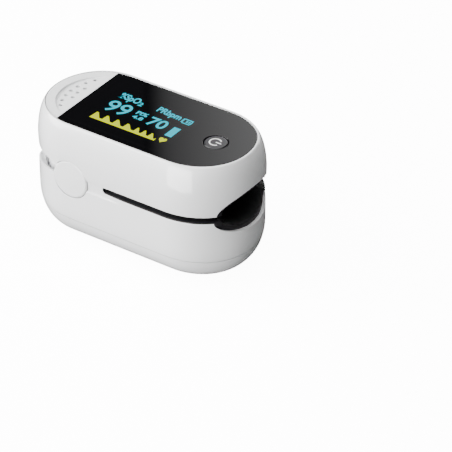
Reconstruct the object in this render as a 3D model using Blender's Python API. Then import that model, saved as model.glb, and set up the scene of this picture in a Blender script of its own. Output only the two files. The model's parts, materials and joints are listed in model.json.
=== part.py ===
"""Fingertip pulse oximeter: two sprung jaws on a side hinge, a display, a power button and a battery door.

Frame: +X points out of the finger opening, +Z up, Y across; the origin is the bottom centre of the closed
device.  Every length below is in millimetres and becomes metres when a mesh is made.
"""

import math

import bmesh
import bpy
from mathutils import Matrix, Vector

MM = 0.001
GAP = 0.3                      # clearance between neighbouring pieces

# Plan outline of the top plate: straight flanks, an elliptical tail and a fuller nose.
PLATE_HALF_WIDTH = 13.0
NOSE_START = 14.2
NOSE_LENGTH = 13.8
NOSE_POWER = 2.1
TAIL_START = -15.3
TAIL_LENGTH = 12.9
NOSE_STEPS = 12
TAIL_STEPS = 10

# Heights.
BODY_TOP = 33.0
PLATE_TOP = 32.8
PLATE_BOTTOM = 31.5
UPPER_EDGE = 19.85             # lower edge of the upper jaw along the slot
LOWER_EDGE = 18.05             # upper edge of the lower jaw along the slot
COVER_SEAM = 6.8
COVER_SKIN = 1.5
LIP = 0.5                      # thin lip that hides the edge of each pad

# The bottom corner is a superellipse from the flat underside up to the flank.
CORNER_RISE = 10.0
CORNER_IN = -4.8
CORNER_OUT = 2.2
CORNER_POWER = 2.2

# Hinge.
HINGE_X = -13.2
HINGE_Z = 18.6
CAP_RADIUS = 5.0
PIN_RADIUS = 1.2
PIN_BORE = 1.28
EAR_RADIUS = 3.0
SLOT_END = -3.7
STRIP_FLOOR = 16.7
NOTCH_X = -17.7

# Finger channel: half-ellipses below and above the slot.
SCOOP = (10.8, 4.25)
ARCH = (10.3, 5.15)
PAD_WALL = 1.2
CHANNEL_END = -8.4
PAD_REACH = 1.4                # how far the pad flange spreads beyond the plate outline

# Display, button and sound grille.
WINDOW_CUT = -18.7
DISPLAY_X = -0.5
DISPLAY_Y = -1.5
DISPLAY_SIZE = (26.7, 19.2)
BUTTON_X = 19.1
BUTTON_RADIUS = 2.8
BUTTON_RING = 0.35
GRILLE_HOLE = 0.48
BOARD_BOTTOM = 27.2
BOARD_TOP = 28.2

# Two AAA cells side by side.
CELL_RADIUS = 5.25
CELL_LENGTH = 44.5
CELL_CLEARANCE = 0.1           # between a cell and the door that slides under it
CELL_Y = 5.4
CELL_Z = 6.75
BAY_RADIUS = 5.5
BAY_END = 24.0
DOOR_HALF_WIDTH = 10.65
DOOR_FRONT = 23.0

SENSOR_X = 6.0
ROUND = 32                     # sides of a round piece


# ---------------------------------------------------------------- scene helpers

def clear_scene():
    for item in list(bpy.data.objects):
        bpy.data.objects.remove(item, do_unlink=True)


def material(name, colour, roughness=0.45, metallic=0.0):
    made = bpy.data.materials.new(name)
    made.use_nodes = True
    shader = made.node_tree.nodes["Principled BSDF"]
    shader.inputs["Base Color"].default_value = (*colour, 1.0)
    shader.inputs["Roughness"].default_value = roughness
    shader.inputs["Metallic"].default_value = metallic
    made.diffuse_color = (*colour, 1.0)
    return made


def mesh_object(name, points, faces):
    """A closed solid from points in millimetres, its faces turned outward."""
    work = bmesh.new()
    corners = [work.verts.new(Vector(point) * MM) for point in points]
    for face in faces:
        work.faces.new([corners[index] for index in face])
    bmesh.ops.recalc_face_normals(work, faces=work.faces)
    mesh = bpy.data.meshes.new(name)
    work.to_mesh(mesh)
    work.free()
    made = bpy.data.objects.new(name, mesh)
    bpy.context.scene.collection.objects.link(made)
    return made


def finish(piece, surface, body, smooth=True):
    """Gives a piece its material and hangs it on its body's empty."""
    piece.data.materials.append(surface)
    if smooth:
        piece.data.shade_smooth()
        piece.data.set_sharp_from_angle(angle=math.radians(35))
    if body is not None:
        bpy.context.view_layer.update()
        piece.parent = body
        piece.matrix_parent_inverse = body.matrix_world.inverted()
    return piece


def move_origin(piece, x, y, z):
    """Puts a piece's origin on a point without moving its mesh."""
    place = Vector((x, y, z)) * MM
    piece.data.transform(Matrix.Translation(-place))
    piece.location = place


def combine(piece, tool, operation="DIFFERENCE"):
    """Boolean modifier with a hidden tool."""
    change = piece.modifiers.new(tool.name, "BOOLEAN")
    change.operation = operation
    change.solver = "EXACT"
    change.object = tool
    tool.hide_render = True
    tool.display_type = "WIRE"


def cut(piece, *tools):
    for tool in tools:
        combine(piece, tool, "DIFFERENCE")


def join(piece, *tools):
    for tool in tools:
        combine(piece, tool, "UNION")


def keep(piece, tool):
    combine(piece, tool, "INTERSECT")


# ---------------------------------------------------------------- shape helpers

def bend(value, power):
    return math.copysign(abs(value) ** (2.0 / power), value)


def outline(side, rear):
    """Plan outline, anticlockwise from above, grown by side on the flanks and nose and by rear at the tail."""
    half = PLATE_HALF_WIDTH + side
    points = []
    for step in range(-NOSE_STEPS, NOSE_STEPS + 1):
        angle = 0.5 * math.pi * step / NOSE_STEPS
        x = NOSE_START + (NOSE_LENGTH + side) * bend(math.cos(angle), NOSE_POWER)
        points.append((x, half * bend(math.sin(angle), NOSE_POWER)))
    for step in range(-TAIL_STEPS, TAIL_STEPS + 1):
        angle = 0.5 * math.pi * step / TAIL_STEPS
        x = TAIL_START - (TAIL_LENGTH + rear) * math.cos(angle)
        points.append((x, -half * math.sin(angle)))
    return points


def loft(name, levels):
    """Closed solid through outlines at (z, side offset, rear offset) levels."""
    points = []
    for z, side, rear in levels:
        points += [(x, y, z) for x, y in outline(side, rear)]
    count = len(points) // len(levels)
    faces = [list(range(count))[::-1], list(range(len(points) - count, len(points)))]
    for level in range(len(levels) - 1):
        low = level * count
        for step in range(count):
            after = (step + 1) % count
            faces.append([low + step, low + after, low + count + after, low + count + step])
    return mesh_object(name, points, faces)


def slab(name, offset, low, high):
    """Vertical prism of the plan outline."""
    return loft(name, [(low, offset, offset), (high, offset, offset)])


def extrude(name, profile, start, end, along):
    """Prism of a closed profile: (x, z) along Y, (y, z) along X or (x, y) along Z."""
    def place(first, second, depth):
        return {"X": (depth, first, second), "Y": (first, depth, second), "Z": (first, second, depth)}[along]
    count = len(profile)
    points = [place(a, b, start) for a, b in profile] + [place(a, b, end) for a, b in profile]
    faces = [list(range(count)), list(range(count, 2 * count))[::-1]]
    for step in range(count):
        after = (step + 1) % count
        faces.append([step, count + step, count + after, after])
    return mesh_object(name, points, faces)


def box(name, low, high):
    profile = [(low[0], low[1]), (high[0], low[1]), (high[0], high[1]), (low[0], high[1])]
    return extrude(name, profile, low[2], high[2], "Z")


def circle(first, second, radius, sides=ROUND):
    return ellipse(first, second, radius, radius, sides)


def ellipse(first, second, wide, high, sides=ROUND):
    turn = [2.0 * math.pi * (step + 0.5) / sides for step in range(sides)]
    return [(first + wide * math.cos(angle), second + high * math.sin(angle)) for angle in turn]


def rod(name, centre, radius, start, end, along, sides=ROUND):
    return extrude(name, circle(*centre, radius, sides), start, end, along)


def turned(name, centre, profile, along="Z", sides=ROUND):
    """Solid of revolution about a line through centre; profile is (radius, height) from one pole to the other."""
    points = []
    faces = []
    rings = []
    for radius, height in profile:
        spins = [2.0 * math.pi * (step + 0.5) / sides for step in range(sides)] if radius > 0.0 else [0.0]
        rings.append(list(range(len(points), len(points) + len(spins))))
        for angle in spins:
            first = centre[0] + radius * math.cos(angle)
            second = centre[1] + radius * math.sin(angle)
            points.append((first, second, height) if along == "Z" else (first, height, second))
    for low, high in zip(rings, rings[1:]):
        for step in range(sides):
            after = (step + 1) % sides
            if len(low) == 1:
                faces.append([low[0], high[after], high[step]])
            elif len(high) == 1:
                faces.append([low[step], low[after], high[0]])
            else:
                faces.append([low[step], low[after], high[after], high[step]])
    for ring in (rings[0], rings[-1]):
        if len(ring) > 1:
            faces.append(ring)
    return mesh_object(name, points, faces)


def tube(name, path, radius, sides=6):
    """Round wire along a list of points, with flat ends."""
    points = []
    faces = []
    path = [Vector(point) for point in path]
    across = None
    for index, point in enumerate(path):
        ahead = path[min(index + 1, len(path) - 1)] - path[max(index - 1, 0)]
        ahead.normalize()
        if across is None:
            across = ahead.orthogonal().normalized()
        across = (across - ahead * across.dot(ahead)).normalized()
        other = ahead.cross(across)
        for step in range(sides):
            angle = 2.0 * math.pi * step / sides
            points.append(point + radius * (math.cos(angle) * across + math.sin(angle) * other))
    count = len(path)
    for index in range(count - 1):
        for step in range(sides):
            after = (step + 1) % sides
            low = index * sides
            faces.append([low + step, low + after, low + sides + after, low + sides + step])
    faces.append(list(range(sides)))
    faces.append(list(range((count - 1) * sides, count * sides)))
    return mesh_object(name, points, faces)


# ---------------------------------------------------------------- outer skin

def corner(z):
    """Outward offset of the lower jaw at height z."""
    if z >= CORNER_RISE:
        return CORNER_OUT
    fall = (1.0 - z / CORNER_RISE) ** CORNER_POWER
    return CORNER_IN + (CORNER_OUT - CORNER_IN) * (1.0 - fall) ** (1.0 / CORNER_POWER)


def upper_levels():
    """(z, side, rear) offsets of the upper jaw's outside, from the slot to the rim."""
    flank = [(UPPER_EDGE, 2.2), (22.0, 2.4), (25.0, 2.5), (27.0, 2.38), (28.8, 2.15), (30.4, 1.8),
             (31.6, 1.4), (32.4, 1.0), (32.8, 0.75), (BODY_TOP, 0.5)]
    return [(z, side, side - 0.45 * min(1.0, 2.0 * side)) for z, side in flank]


def lower_levels(low, high):
    """Offsets of the lower jaw's outside between two heights."""
    inner = [z for z in (7.5, 9.0, 11.0, 13.5, 16.0) if low < z < high]
    levels = []
    for z in [low, *inner, high]:
        side = corner(z) + 0.1 * math.sin(math.pi * max(0.0, z - 6.0) / 13.0)
        levels.append((z, side, side))
    return levels


def notch_above():
    """Side profile of what the rear notch takes off the upper jaw."""
    rounding = [(-26.4 - 4.6 * math.sin(0.5 * math.pi * step / 6), 27.0 - 4.7 * math.cos(0.5 * math.pi * step / 6))
                for step in range(7)]
    return [(NOTCH_X, 17.0), (NOTCH_X, 21.9), (-22.0, 22.1), *rounding, (-36.0, 27.0), (-36.0, 17.0)]


def notch_below():
    """Side profile of what the rear notch takes off the lower jaw."""
    rounding = [(-25.2 - 6.4 * math.sin(0.5 * math.pi * step / 6), 11.2 + 6.4 * math.cos(0.5 * math.pi * step / 6))
                for step in range(7)]
    return [(-18.2, 24.0), (-18.2, 18.9), (-22.0, 18.35), *rounding, (-36.0, 11.2), (-36.0, 24.0)]


def hinge_hole(name):
    return rod(name, (HINGE_X, HINGE_Z), CAP_RADIUS + GAP, -20.0, 20.0, "Y", 40)


def make_upper_shell(surface, body):
    shell = loft("upper_shell", upper_levels())
    hollow = [(18.0, 2.2 - LIP, 1.75 - LIP), (21.0, 2.3 - LIP, 1.85 - LIP), (21.0, 0.7, 0.3), (25.0, 0.9, 0.45),
              (28.8, 0.55, 0.1), (30.2, 0.2, -0.25), (30.2, -1.0, -1.2), (31.2, -1.0, -1.2),
              (31.2, GAP, 0.2), (34.0, GAP, 0.2)]
    arch = extrude("upper_shell_arch", ellipse(0.0, UPPER_EDGE, *ARCH, 40), 15.0, 40.0, "X")
    notch = extrude("upper_shell_notch", notch_above(), -20.0, 20.0, "Y")
    cut(shell, loft("upper_shell_hollow", hollow), arch, notch, hinge_hole("upper_shell_hinge"))
    return finish(shell, surface, body)


def make_lower_shell(surface, body):
    bottom = COVER_SEAM + 0.5 * GAP
    tab_top = UPPER_EDGE - GAP
    shell = loft("lower_shell", lower_levels(bottom, tab_top))
    hollow = [(bottom - 2.0, 0.35, 0.35), (9.0, 0.6, 0.6), (16.9, 0.65, 0.65), (16.9, CORNER_OUT - LIP, 1.7),
              (tab_top + 2.0, CORNER_OUT - LIP, 1.7)]
    slot = box("lower_shell_slot", (SLOT_END, -20.0, LOWER_EDGE), (40.0, 20.0, 30.0))
    scoop = extrude("lower_shell_scoop", ellipse(0.0, LOWER_EDGE, *SCOOP, 40), 15.0, 40.0, "X")
    notch = extrude("lower_shell_notch", notch_below(), -20.0, 20.0, "Y")
    cut(shell, loft("lower_shell_hollow", hollow), slot, scoop, notch, hinge_hole("lower_shell_hinge"))
    for name, side in (("left", 1.0), ("right", -1.0)):
        near = side * (PLATE_HALF_WIDTH + CORNER_OUT - 0.35)
        far = side * 18.0
        low, high = min(near, far), max(near, far)
        cut(shell, box(f"lower_shell_strip_{name}", (-9.0, low, STRIP_FLOOR), (SLOT_END + 0.3, high, 24.0)))
    return finish(shell, surface, body)


def pan(name):
    """Bottom pan below the cover seam, walls and floor."""
    top = COVER_SEAM - 0.5 * GAP
    outside = loft(name, [(z, corner(z), corner(z)) for z in (0.0, 0.12, 0.45, 1.1, 2.1, 3.4, 5.0, top)])
    inside = loft(f"{name}_hollow", [(z, corner(z) - COVER_SKIN, corner(z) - COVER_SKIN)
                                     for z in (1.4, 2.1, 3.4, 5.0, top + 1.0)])
    cut(outside, inside)
    return outside


def make_bottom_cover(surface, body):
    cover = pan("bottom_cover")
    half = DOOR_HALF_WIDTH + GAP
    cut(cover, box("bottom_cover_doorway", (-40.0, -half, -2.0), (DOOR_FRONT + GAP, half, 9.0)))
    for side, x, y in (("left", 25.2, 3.2), ("right", 25.2, -3.2)):
        join(cover, rod(f"bottom_cover_boss_{side}", (x, y), 1.6, 1.9, 4.0, "Z", 20))
        cut(cover, rod(f"bottom_cover_pilot_{side}", (x, y), 0.9, 2.2, 6.0, "Z", 20))
    return finish(cover, surface, body)


def make_battery_door(surface, body):
    door = pan("battery_door")
    keep(door, box("battery_door_span", (-40.0, -DOOR_HALF_WIDTH, -2.0), (DOOR_FRONT, DOOR_HALF_WIDTH, 9.0)))
    for name, side in (("left", 1.0), ("right", -1.0)):
        for part, inner, outer, low in (("web", 10.0, 10.6, 1.0), ("rail", 10.1, 11.2, 1.95)):
            ends = sorted((side * inner, side * outer))
            rail = box(f"battery_door_{part}_{name}", (-6.0, ends[0], low), (12.0, ends[1], 2.6))
            join(door, rail)
        clearance = rod(f"battery_door_bay_{name}", (side * CELL_Y, CELL_Z), CELL_RADIUS + CELL_CLEARANCE,
                        -22.0, DOOR_FRONT + 1.0, "X")
        cut(door, clearance)
    return finish(door, surface, body)


# ---------------------------------------------------------------- top plates, button and electronics

def make_display_window(surface, body):
    window = slab("display_window", 0.0, PLATE_BOTTOM, PLATE_TOP)
    keep(window, box("display_window_front", (WINDOW_CUT + 0.5 * GAP, -20.0, 20.0), (40.0, 20.0, 40.0)))
    cut(window, rod("display_window_hole", (BUTTON_X, 0.0), BUTTON_RADIUS + BUTTON_RING, 25.0, 40.0, "Z"))
    return finish(window, surface, body)


def grille_points():
    """Centres of the sound holes: seven on an outer arc and three on an inner one."""
    points = [(-23.8 + 0.0447 * y * y, y) for y in (-7.0, -4.8, -2.45, 0.0, 2.45, 4.8, 7.0)]
    return points + [(-21.7 + 0.06 * y * y, y) for y in (-2.45, 0.0, 2.45)]


def make_grille_plate(surface, body):
    plate = slab("grille_plate", 0.0, PLATE_BOTTOM, PLATE_TOP)
    keep(plate, box("grille_plate_rear", (-40.0, -20.0, 20.0), (WINDOW_CUT - 0.5 * GAP, 20.0, 40.0)))
    dish = slab("grille_plate_dish", -2.3, 31.9, 35.0)
    ramp = [(-19.6, PLATE_TOP - 0.02), (-27.0, PLATE_TOP - 0.6), (-30.0, PLATE_TOP - 0.6), (-30.0, 36.0), (-19.6, 36.0)]
    keep(dish, extrude("grille_plate_ramp", ramp, -12.0, 12.0, "Y"))
    cut(plate, dish)
    for number, (x, y) in enumerate(grille_points(), 1):
        cut(plate, rod(f"grille_plate_hole_{number}", (x, y), GRILLE_HOLE, 25.0, 40.0, "Z", 10))
    return finish(plate, surface, body)


def make_power_button(surface, body):
    profile = [(0.0, 30.45), (0.9, 30.45), (0.9, 30.7), (3.5, 30.7), (3.5, 31.2), (BUTTON_RADIUS, 31.2),
               (BUTTON_RADIUS, 32.7), (BUTTON_RADIUS - 0.15, 32.85), (0.0, 32.85)]
    return finish(turned("power_button", (BUTTON_X, 0.0), profile), surface, body)


def make_switch(case_surface, plunger_surface, upper, button):
    case = box("tact_switch", (BUTTON_X - 2.25, -2.25, 28.3), (BUTTON_X + 2.25, 2.25, 29.6))
    cut(case, rod("tact_switch_bore", (BUTTON_X, 0.0), 1.25, 28.6, 32.0, "Z", 20))
    finish(case, case_surface, upper)
    finish(rod("switch_plunger", (BUTTON_X, 0.0), 0.95, 29.1, 30.2, "Z", 20), plunger_surface, button)


def make_display(glass, foam, body):
    half_x, half_y = DISPLAY_SIZE[0] / 2, DISPLAY_SIZE[1] / 2
    low = (DISPLAY_X - half_x, DISPLAY_Y - half_y)
    high = (DISPLAY_X + half_x, DISPLAY_Y + half_y)
    finish(box("display_module", (*low, 29.3), (*high, 30.7)), glass, body)
    gasket = box("display_gasket", (*low, 30.85), (*high, 31.35))
    inside = box("display_gasket_window", (low[0] + 1.6, low[1] + 1.6, 30.0), (high[0] - 1.6, high[1] - 1.6, 32.0))
    cut(gasket, inside)
    finish(gasket, foam, body)


def upper_screw_points():
    return [(-12.5, 6.0), (-12.5, -6.0), (21.5, 7.5), (21.5, -7.5)]


def make_main_board(board_surface, chip_surface, metal, body):
    board = slab("main_board", -1.2, BOARD_BOTTOM, BOARD_TOP)
    for number, (x, y) in enumerate(upper_screw_points(), 1):
        cut(board, rod(f"main_board_hole_{number}", (x, y), 1.0, 20.0, 35.0, "Z", 16))
    finish(board, board_surface, body)
    finish(box("processor_chip", (-5.5, -4.5, 28.3), (2.5, 3.5, 29.1)), chip_surface, body)
    sound = turned("buzzer", (-22.6, 0.0), [(0.0, 28.4), (3.6, 28.4), (3.6, 31.0), (0.9, 31.0), (0.9, 30.4), (0.0, 30.4)])
    finish(sound, metal, body)


def screw_profile(head_low, head_high, tip):
    return [(0.0, tip), (0.45, tip + 0.3), (0.7, tip + 0.9), (0.7, head_low), (1.5, head_low),
            (1.5, head_high - 0.25), (1.2, head_high), (0.0, head_high)]


def make_screws(name, points, profile, surface, body):
    for number, (x, y) in enumerate(points, 1):
        finish(turned(f"{name}_{number}", (x, y), profile, sides=14), surface, body)


# ---------------------------------------------------------------- inner frames and pads

def half_channel(name, size, level, start, end):
    return extrude(name, ellipse(0.0, level, *size, 40), start, end, "X")


def ear(name, side, inner, outer, hinge_side):
    """Hinge ear round the pin, with a shank that reaches up (+1) or down (-1) to its frame."""
    turn = [math.pi * step / 10 for step in range(11)]
    arc = [(HINGE_X + EAR_RADIUS * math.cos(angle), HINGE_Z - hinge_side * EAR_RADIUS * math.sin(angle))
           for angle in turn]
    reach = HINGE_Z + hinge_side * (6.2 if hinge_side > 0 else 9.0)
    profile = [*arc, (HINGE_X - EAR_RADIUS, reach), (HINGE_X + EAR_RADIUS, reach)]
    ends = sorted((side * inner, side * outer))
    return extrude(name, profile, *ends, "Y")


def hinge_bore(name):
    return rod(name, (HINGE_X, HINGE_Z), PIN_BORE, -20.0, 20.0, "Y", 24)


def make_upper_frame(surface, body):
    frame = slab("upper_frame", -1.2, 20.95, 26.6)
    keep(frame, box("upper_frame_span", (-17.0, -20.0, 15.0), (26.4, 20.0, 30.0)))
    cut(frame, half_channel("upper_frame_arch", ARCH, UPPER_EDGE, CHANNEL_END - GAP, 40.0))
    cut(frame, box("upper_frame_rear_room", (-30.0, -20.0, 15.0), (CHANNEL_END - 1.6, 20.0, 23.3)))
    for name, side in (("left", 1.0), ("right", -1.0)):
        join(frame, ear(f"upper_frame_ear_{name}", side, 10.4, 11.6, 1.0))
    cut(frame, hinge_bore("upper_frame_bore"))
    cut(frame, box("upper_frame_cable_slot", (-12.6, -3.4, 15.0), (-9.7, 3.4, 30.0)))
    cut(frame, box("upper_frame_led_window", (SENSOR_X - 5.3, -2.5, 24.0), (SENSOR_X + 5.3, 2.5, 28.0)))
    for number, (x, y) in enumerate(upper_screw_points(), 1):
        cut(frame, rod(f"upper_frame_pilot_{number}", (x, y), 1.0, 24.0, 30.0, "Z", 16))
    return finish(frame, surface, body)


def make_lower_frame(surface, body):
    frame = slab("lower_frame", -0.6, 4.6, 16.6)
    cut(frame, box("lower_frame_rear_room", (-40.0, -20.0, 12.9), (CHANNEL_END - 1.6, 20.0, 30.0)))
    cut(frame, half_channel("lower_frame_scoop", SCOOP, LOWER_EDGE, CHANNEL_END - GAP, 40.0))
    for name, side in (("left", 1.0), ("right", -1.0)):
        cut(frame, rod(f"lower_frame_bay_{name}", (side * CELL_Y, CELL_Z), BAY_RADIUS, -BAY_END, BAY_END, "X"))
        join(frame, ear(f"lower_frame_ear_{name}", side, 11.9, 13.25, -1.0))
    cut(frame, box("lower_frame_bay_mouth", (-BAY_END, -10.9, 0.0), (BAY_END, 10.9, CELL_Z)))
    cut(frame, hinge_bore("lower_frame_bore"))
    cut(frame, box("lower_frame_sensor_room", (SENSOR_X - 5.3, -2.5, 11.7), (SENSOR_X + 5.3, 2.5, 20.0)))
    for number, (x, y) in enumerate(lower_screw_points(), 1):
        cut(frame, rod(f"lower_frame_hole_{number}", (x, y), 1.0, 0.0, 20.0, "Z", 16))
        cut(frame, rod(f"lower_frame_sink_{number}", (x, y), 1.9, 10.4, 20.0, "Z", 16))
    return finish(frame, surface, body)


def lower_screw_points():
    return [(25.2, 3.2), (25.2, -3.2)]


def make_pad(name, size, level, up, surface, body):
    """Silicone pad: an elliptical channel with a flange under the jaw's lip; up is +1 above the slot."""
    outer = (size[0] - GAP, size[1] - GAP)
    inner = (outer[0] - PAD_WALL, outer[1] - PAD_WALL)
    flange = sorted((level - up * 0.15, level + up * 0.85))
    pad = slab(name, PAD_REACH, *flange)
    crown = sorted((level + up * 0.1, level + up * (outer[1] + 1.0)))
    trough = slab(f"{name}_trough", PAD_REACH - 0.2, *crown)
    keep(trough, extrude(f"{name}_outside", ellipse(0.0, level, *outer, 40), CHANNEL_END - 3.0, 45.0, "X"))
    join(pad, trough)
    keep(pad, box(f"{name}_span", (CHANNEL_END, -20.0, 0.0), (40.0, 20.0, 40.0)))
    channel = extrude(f"{name}_channel", ellipse(0.0, level, *inner, 40), CHANNEL_END + PAD_WALL, 40.0, "X")
    eye = rod(f"{name}_eye", (SENSOR_X, 0.0), 2.1, level, level + up * 7.0, "Z", 20)
    cut(pad, channel, eye, hinge_hole(f"{name}_hinge"))
    return finish(pad, surface, body)


def make_optics(board_surface, chip_surface, lens_surface, upper, lower):
    half = 5.0
    finish(box("emitter_board", (SENSOR_X - half, -2.2, 25.7), (SENSOR_X + half, 2.2, 26.4)), board_surface, upper)
    finish(box("emitter_leds", (SENSOR_X - 1.3, -1.0, 24.85), (SENSOR_X + 1.3, 1.0, 25.5)), chip_surface, upper)
    lens = [(0.0, 23.35), (1.2, 23.45), (1.75, 23.7), (1.75, 24.6), (0.0, 24.6)]
    finish(turned("emitter_lens", (SENSOR_X, 0.0), lens, sides=20), lens_surface, upper)
    finish(box("sensor_board", (SENSOR_X - half, -2.2, 12.0), (SENSOR_X + half, 2.2, 12.7)), board_surface, lower)
    finish(box("photodiode", (SENSOR_X - 1.5, -1.5, 12.95), (SENSOR_X + 1.5, 1.5, 13.8)), chip_surface, lower)
    lens = [(0.0, 14.1), (1.75, 14.1), (1.75, 15.1), (1.2, 15.4), (0.0, 15.5)]
    finish(turned("sensor_lens", (SENSOR_X, 0.0), lens, sides=20), lens_surface, lower)


# ---------------------------------------------------------------- hinge

def make_hinge(cap_surface, metal, body):
    dome = [(0.0, 13.85), (CAP_RADIUS - 0.3, 13.85), (CAP_RADIUS, 14.1), (CAP_RADIUS, 15.15),
            (CAP_RADIUS - 0.35, 15.4), (CAP_RADIUS - 1.4, 15.48), (0.0, 15.5)]
    for name, side in (("left", 1.0), ("right", -1.0)):
        profile = [(radius, side * height) for radius, height in dome]
        cap = turned(f"hinge_cap_{name}", (HINGE_X, HINGE_Z), profile, "Y", 40)
        move_origin(cap, HINGE_X, 0.0, HINGE_Z)
        finish(cap, cap_surface, body)
        ends = sorted((side * 7.7, side * 13.55))
        pin = rod(f"hinge_pin_{name}", (HINGE_X, HINGE_Z), PIN_RADIUS, *ends, "Y", 24)
        move_origin(pin, HINGE_X, 0.0, HINGE_Z)
        finish(pin, metal, body)
        spring = tube(f"torsion_spring_{name}", spring_path(side), 0.28)
        move_origin(spring, HINGE_X, 0.0, HINGE_Z)
        finish(spring, metal, body)


def spring_path(side):
    """Torsion spring round the pin: a leg under the upper frame, three and a half turns, a leg on the lower frame."""
    radius, turns, pitch, steps = 1.85, 3.5, 0.62, 14
    start, middle = math.radians(100.0), 9.0
    count = round(turns * steps)
    coil = []
    for step in range(count + 1):
        angle = start + 2.0 * math.pi * step / steps
        y = side * (middle + pitch * (step / steps - 0.5 * turns))
        coil.append((HINGE_X + radius * math.cos(angle), y, HINGE_Z + radius * math.sin(angle)))
    first, last = coil[0], coil[-1]
    upper_leg = [(-21.0, first[1], 22.9), (-17.5, first[1], 22.2), (-15.0, first[1], 21.2)]
    lower_leg = [(-15.2, last[1], 15.6), (-17.8, last[1], 14.3), (-21.0, last[1], 13.4)]
    return [*upper_leg, *coil, *lower_leg]


def make_rear_baffle(surface, body):
    """Curved wall that closes the rear notch inside both jaws."""
    baffle = slab("rear_baffle", -0.1, 13.2, 21.3)
    cut(baffle, slab("rear_baffle_hollow", -1.1, 10.0, 25.0))
    keep(baffle, box("rear_baffle_span", (-40.0, -20.0, 10.0), (-17.0, 20.0, 25.0)))
    return finish(baffle, surface, body)


def make_flex_cable(surface, body):
    """Flat cable between the boards, through the gap behind the finger stop."""
    middle = [(-11.0 + 0.8 * math.sin(2.0 * math.pi * step / 12), 13.4 + step * (26.4 - 13.4) / 12)
              for step in range(13)]
    thick = 0.12
    profile = [(x - thick, z) for x, z in middle] + [(x + thick, z) for x, z in reversed(middle)]
    return finish(extrude("flex_cable", profile, -3.0, 3.0, "Y"), surface, body)


# ---------------------------------------------------------------- cells and contacts

def make_cells(surface, body):
    for number, side in ((1, 1.0), (2, -1.0)):
        half = CELL_LENGTH / 2
        shape = [(0.0, -half), (CELL_RADIUS - 0.4, -half), (CELL_RADIUS, -half + 0.4), (CELL_RADIUS, half - 1.6),
                 (CELL_RADIUS - 0.6, half - 1.0), (1.9, half - 1.0), (1.9, half), (0.0, half)]
        cell = turned(f"battery_{number}", (0.0, 0.0), shape)
        turn = Matrix.Rotation(side * math.pi / 2, 4, "Y")
        cell.data.transform(turn)
        cell.data.transform(Matrix.Translation(Vector((0.0, side * CELL_Y, CELL_Z)) * MM))
        finish(cell, surface, body)


def conical_spring(name, x, y, direction, surface, body):
    steps, turns = 12, 2.25
    count = round(steps * turns)
    path = []
    for step in range(count + 1):
        share = step / count
        angle = 2.0 * math.pi * step / steps
        radius = 2.6 - 1.5 * share
        path.append((x + direction * 1.0 * share, y + radius * math.cos(angle), CELL_Z + radius * math.sin(angle)))
    finish(tube(name, path, 0.17), surface, body)


def make_contacts(surface, body):
    rear = -BAY_END + 0.15
    front = BAY_END - 0.15
    finish(box("contact_bridge", (rear, -8.6, 4.2), (rear + 0.3, 8.6, 7.3)), surface, body)
    finish(box("contact_plate_positive", (front - 0.3, 2.4, 4.2), (front, 7.6, 9.3)), surface, body)
    finish(box("contact_plate_negative", (front - 0.3, -7.6, 4.2), (front, -2.4, 9.3)), surface, body)
    conical_spring("contact_spring_rear", rear + 0.55, CELL_Y, 0.72, surface, body)
    conical_spring("contact_spring_front", front - 0.55, -CELL_Y, -0.72, surface, body)


# ---------------------------------------------------------------- assembly

def body_empty(name, x, y, z):
    made = bpy.data.objects.new(name, None)
    made.location = Vector((x, y, z)) * MM
    bpy.context.scene.collection.objects.link(made)
    return made


def surfaces():
    return {
        "white": material("white_plastic", (0.83, 0.83, 0.84), 0.32),
        "grille": material("grille_plastic", (0.82, 0.82, 0.83), 0.38),
        "frame": material("frame_plastic", (0.7, 0.71, 0.72), 0.5),
        "window": material("window_acrylic", (0.012, 0.012, 0.014), 0.08),
        "button": material("button_plastic", (0.05, 0.05, 0.055), 0.35),
        "silicone": material("black_silicone", (0.015, 0.015, 0.016), 0.6),
        "foam": material("black_foam", (0.03, 0.03, 0.03), 0.9),
        "glass": material("display_glass", (0.02, 0.02, 0.035), 0.12),
        "board": material("circuit_board", (0.03, 0.2, 0.1), 0.5),
        "chip": material("chip_epoxy", (0.03, 0.03, 0.035), 0.5),
        "lens": material("optical_lens", (0.25, 0.03, 0.03), 0.1),
        "steel": material("spring_steel", (0.6, 0.6, 0.62), 0.3, 1.0),
        "cell": material("cell_jacket", (0.1, 0.14, 0.2), 0.35, 0.4),
        "flex": material("flex_polyimide", (0.45, 0.22, 0.05), 0.4),
    }


def build():
    clear_scene()
    look = surfaces()
    lower = body_empty("lower_body", 0.0, 0.0, 0.0)
    door = body_empty("door_body", 0.0, 0.0, 0.0)
    upper = body_empty("upper_body", HINGE_X, 0.0, HINGE_Z)
    button = body_empty("button_body", BUTTON_X, 0.0, PLATE_TOP)

    make_lower_shell(look["white"], lower)
    make_bottom_cover(look["white"], lower)
    make_battery_door(look["white"], door)
    make_lower_frame(look["frame"], lower)
    make_pad("lower_pad", SCOOP, LOWER_EDGE, -1.0, look["silicone"], lower)
    make_rear_baffle(look["frame"], lower)
    make_hinge(look["white"], look["steel"], lower)
    make_flex_cable(look["flex"], lower)
    make_cells(look["cell"], lower)
    make_contacts(look["steel"], lower)
    make_screws("lower_screw", lower_screw_points(), screw_profile(10.7, 11.5, 2.4), look["steel"], lower)

    make_upper_shell(look["white"], upper)
    make_display_window(look["window"], upper)
    make_grille_plate(look["grille"], upper)
    make_upper_frame(look["frame"], upper)
    make_pad("upper_pad", ARCH, UPPER_EDGE, 1.0, look["silicone"], upper)
    make_display(look["glass"], look["foam"], upper)
    make_main_board(look["board"], look["chip"], look["steel"], upper)
    make_screws("upper_screw", upper_screw_points(), screw_profile(28.45, 29.1, 24.5), look["steel"], upper)
    make_optics(look["board"], look["chip"], look["lens"], upper, lower)

    make_power_button(look["button"], button)
    make_switch(look["chip"], look["button"], upper, button)


build()
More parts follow.
